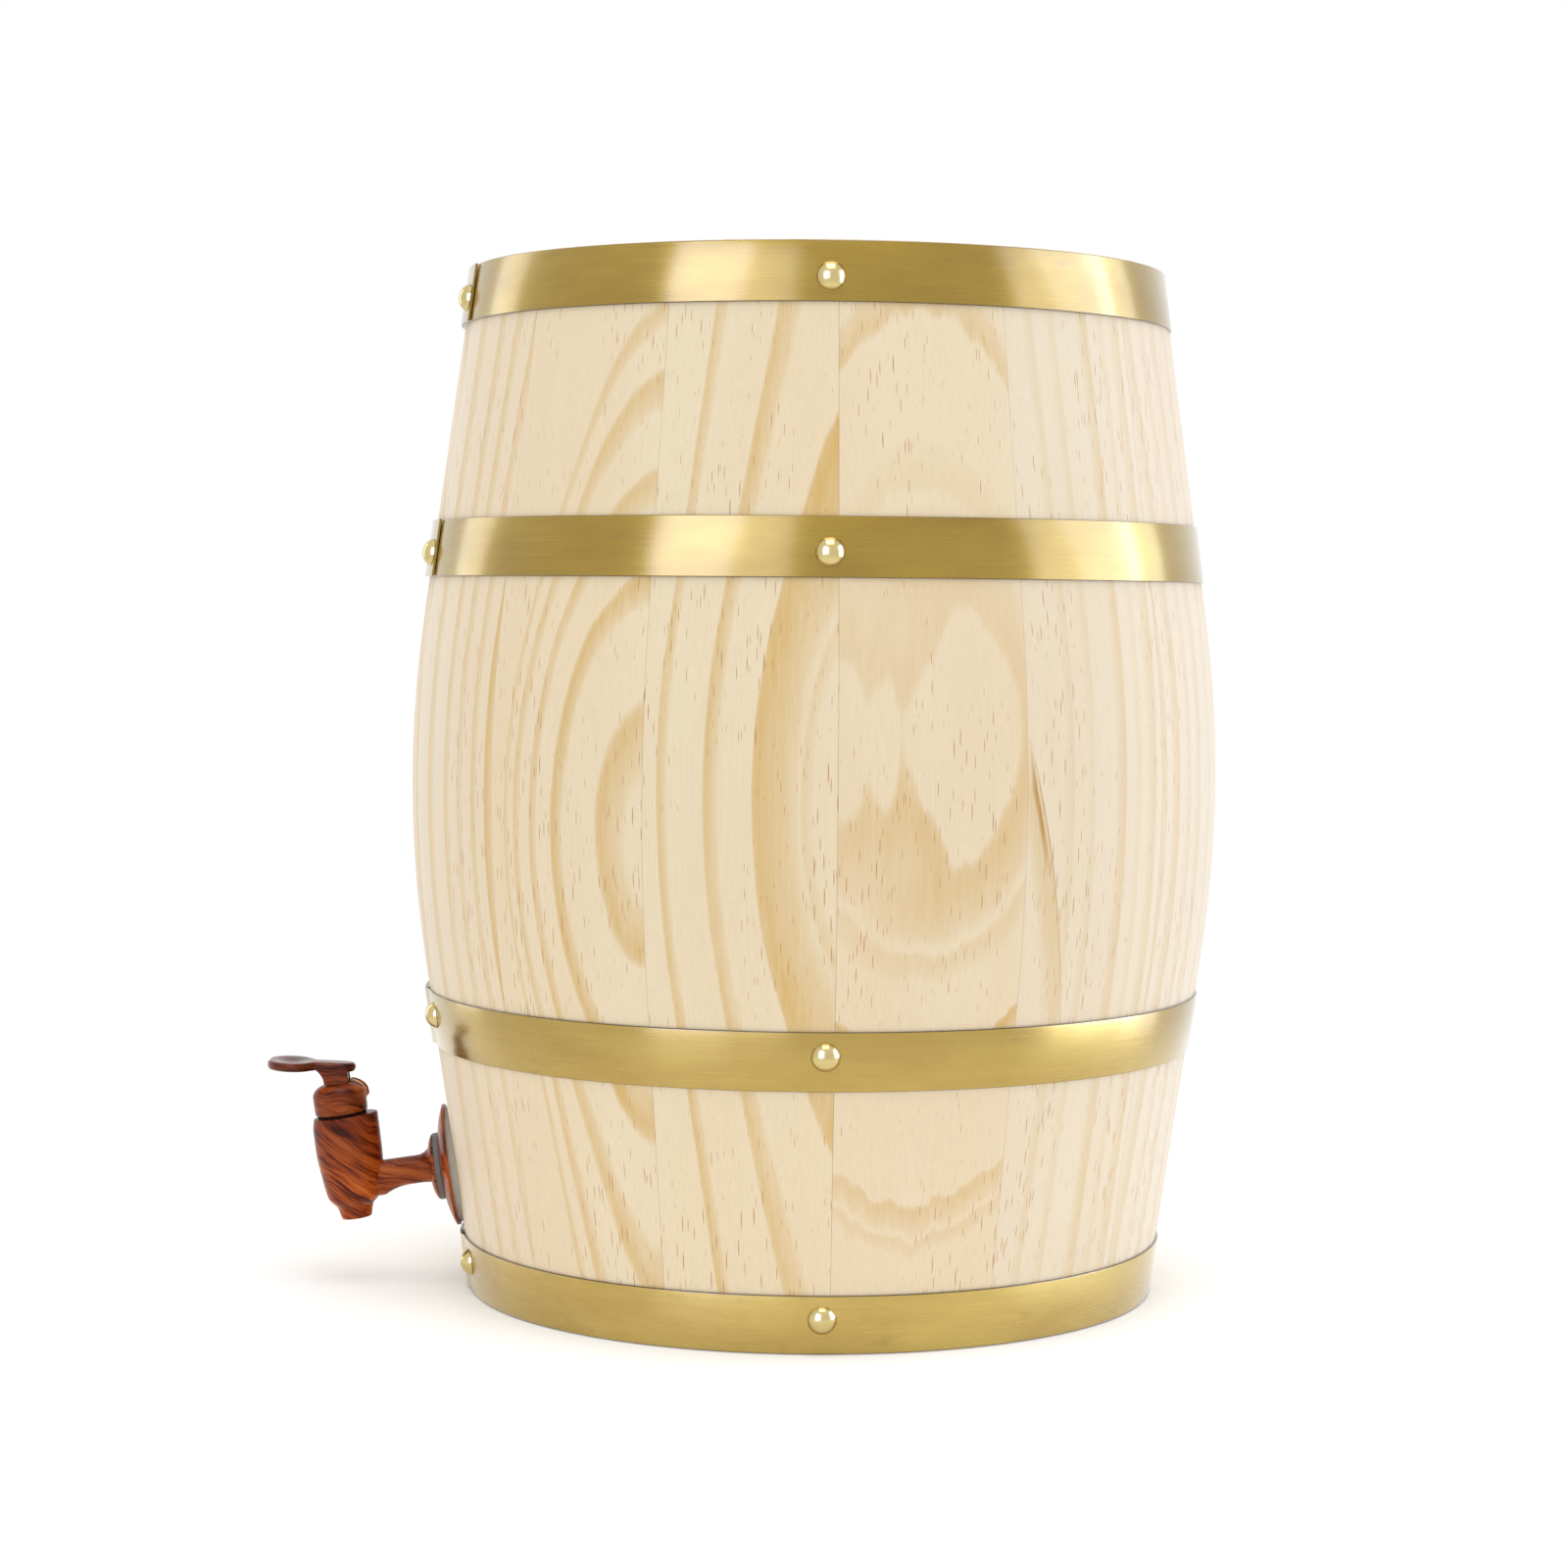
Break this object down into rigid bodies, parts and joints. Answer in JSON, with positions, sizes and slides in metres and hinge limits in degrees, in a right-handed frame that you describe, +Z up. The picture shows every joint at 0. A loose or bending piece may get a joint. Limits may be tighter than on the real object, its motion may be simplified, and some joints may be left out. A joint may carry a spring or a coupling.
{
  "type": "wine barrel",
  "caption": "Upright pine wine barrel of bowed staves in nailed brass hoops, with a bung in the top head and a press-lever tap that lifts a sprung valve when its paddle is pushed down.",
  "frame": {"origin": "centre of the base, on the barrel's axis, at the height of the stave ends it stands on", "axes": "+Z up along the barrel's axis; -Y towards the tap; +X to the right of someone who faces the tap"},
  "size_m": [0.26, 0.3071, 0.328],
  "materials": {
    "stave_pine": "planed and waxed, satin",
    "head_pine": "planed, matt",
    "bung_wood": "turned, matt",
    "hoop_brass": "rolled strip, brushed satin",
    "nail_brass": "polished",
    "printed_wood": "wood-grain print under gloss",
    "grey_rubber": "matt",
    "black_rubber": "matt",
    "clear_silicone": "satin",
    "white_plastic": "moulded, satin",
    "spring_steel": "drawn wire"
  },
  "bodies": {
    "barrel": {"stave_01": "stave_pine", "stave_02": "stave_pine", "stave_03": "stave_pine", "stave_04": "stave_pine", "stave_05": "stave_pine", "stave_06": "stave_pine", "stave_07": "stave_pine", "stave_08": "stave_pine", "stave_09": "stave_pine", "stave_10": "stave_pine", "stave_11": "stave_pine", "stave_12": "stave_pine", "stave_13": "stave_pine", "stave_14": "stave_pine", "bottom_head_board_1": "head_pine", "bottom_head_board_2": "head_pine", "bottom_head_board_3": "head_pine", "bottom_head_board_4": "head_pine", "bottom_head_board_5": "head_pine", "top_head_board_1": "head_pine", "top_head_board_2": "head_pine", "top_head_board_3": "head_pine", "top_head_board_4": "head_pine", "top_head_board_5": "head_pine", "bottom_hoop": "hoop_brass", "lower_hoop": "hoop_brass", "upper_hoop": "hoop_brass", "top_hoop": "hoop_brass", "bottom_hoop_nails": "nail_brass", "lower_hoop_nails": "nail_brass", "upper_hoop_nails": "nail_brass", "top_hoop_nails": "nail_brass", "tap_body": "printed_wood", "bonnet": "printed_wood", "bonnet_seal": "black_rubber", "escutcheon": "printed_wood", "tap_washer": "grey_rubber", "wall_gasket": "grey_rubber", "inner_gasket": "grey_rubber", "backing_washer": "white_plastic", "shank_nut": "white_plastic", "return_spring": "spring_steel"},
    "stem": {"stem": "white_plastic", "valve_seal": "clear_silicone", "stem_ring": "black_rubber"},
    "lever": {"lever": "printed_wood"},
    "bung": {"bung": "bung_wood"}
  },
  "joints": [
    {"name": "valve_lift", "type": "slide", "parent": "barrel", "child": "stem", "axis": [0, -0.1411, 0.99], "range_m": [0, 0.00148], "stiffness_N_per_m": 20, "springref_m": -0.002, "deforming": ["return_spring"]},
    {"name": "lever_press", "type": "hinge", "parent": "stem", "child": "lever", "pos_m": [0, -0.15482, 0.06721], "axis": [1, 0, 0], "range_deg": [0, 30], "stiffness_Nm_per_rad": 0.001, "springref_deg": -8.59},
    {"name": "bung_pull", "type": "slide", "parent": "barrel", "child": "bung", "axis": [0, 0, 1], "range_m": [0, 0.045]}
  ],
  "couplings": [
    {"joint": "lever_press", "follows": "valve_lift", "rad_per_m": 352.86}
  ]
}
